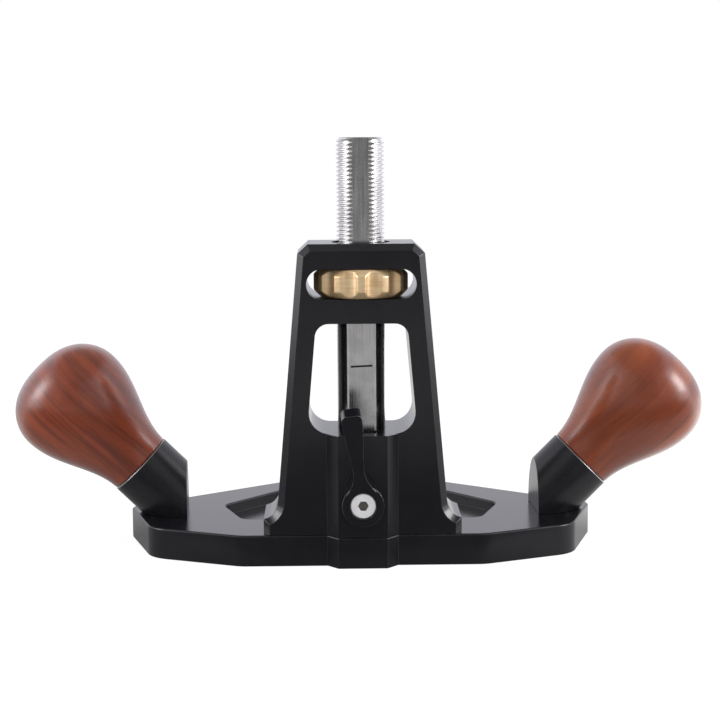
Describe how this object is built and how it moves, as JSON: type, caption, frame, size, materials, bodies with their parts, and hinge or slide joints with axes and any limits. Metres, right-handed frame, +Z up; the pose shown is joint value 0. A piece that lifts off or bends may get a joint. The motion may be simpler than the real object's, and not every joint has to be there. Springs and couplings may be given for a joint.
{
  "type": "hand router plane",
  "caption": "Hand router plane: a black base plate with a windowed column, a threaded post fed by a captive brass wheel, a lever clamp, and wooden knobs on slanted sockets.",
  "frame": {"origin": "on the sole, in the middle of the plane of the column's front face", "axes": "+X across the knobs towards the right-hand knob as seen from the lever side, +Y from the lever side towards the cutter's edge and the back of the plate, +Z up from the sole"},
  "size_m": [0.2408, 0.1055, 0.1414],
  "materials": {
    "black_anodised": "bead-blasted and black anodised",
    "bright_steel": "ground stainless steel",
    "black_steel": "blackened steel fasteners",
    "tool_steel": "ground tool steel",
    "brass": "satin turned brass",
    "wood": "turned, oiled and polished hardwood"
  },
  "bodies": {
    "frame": {"base_plate": "black_anodised", "tower": "black_anodised", "tower_screws": "black_steel", "tower_dowels": "bright_steel", "handle_socket_left": "black_anodised", "handle_socket_right": "black_anodised", "socket_screw_left": "black_steel", "socket_screw_right": "black_steel", "knob_left": "wood", "knob_right": "wood", "knob_stud_left": "bright_steel", "knob_stud_right": "bright_steel", "knob_insert_left": "brass", "knob_insert_right": "brass"},
    "post": {"threaded_post": "bright_steel", "cutter": "tool_steel", "cutter_grub_screw": "black_steel"},
    "wheel": {"adjuster_wheel": "brass"},
    "clamp": {"clamp_shoe": "bright_steel"},
    "lever": {"lock_lever": "black_anodised", "lever_screw": "bright_steel", "clamp_spindle": "bright_steel"}
  },
  "joints": [
    {"name": "post_feed", "type": "slide", "parent": "frame", "child": "post", "axis": [0, 0, 1], "range_m": [-0.022, 0.002]},
    {"name": "wheel_turn", "type": "hinge", "parent": "frame", "child": "wheel", "pos_m": [0, 0.013, 0.0939], "axis": [0, 0, 1], "range_deg": [-512, 5619]},
    {"name": "shoe_feed", "type": "slide", "parent": "frame", "child": "clamp", "axis": [0, -1, 0], "range_m": [-0.00005, 0.00031]},
    {"name": "lever_turn", "type": "hinge", "parent": "clamp", "child": "lever", "pos_m": [0, -0.006, 0.0225], "axis": [0, -1, 0], "range_deg": [-15, 90]}
  ],
  "couplings": [
    {"joint": "wheel_turn", "follows": "post_feed", "rad_per_m": -4456.2},
    {"joint": "lever_turn", "follows": "shoe_feed", "rad_per_m": 5026.5}
  ]
}
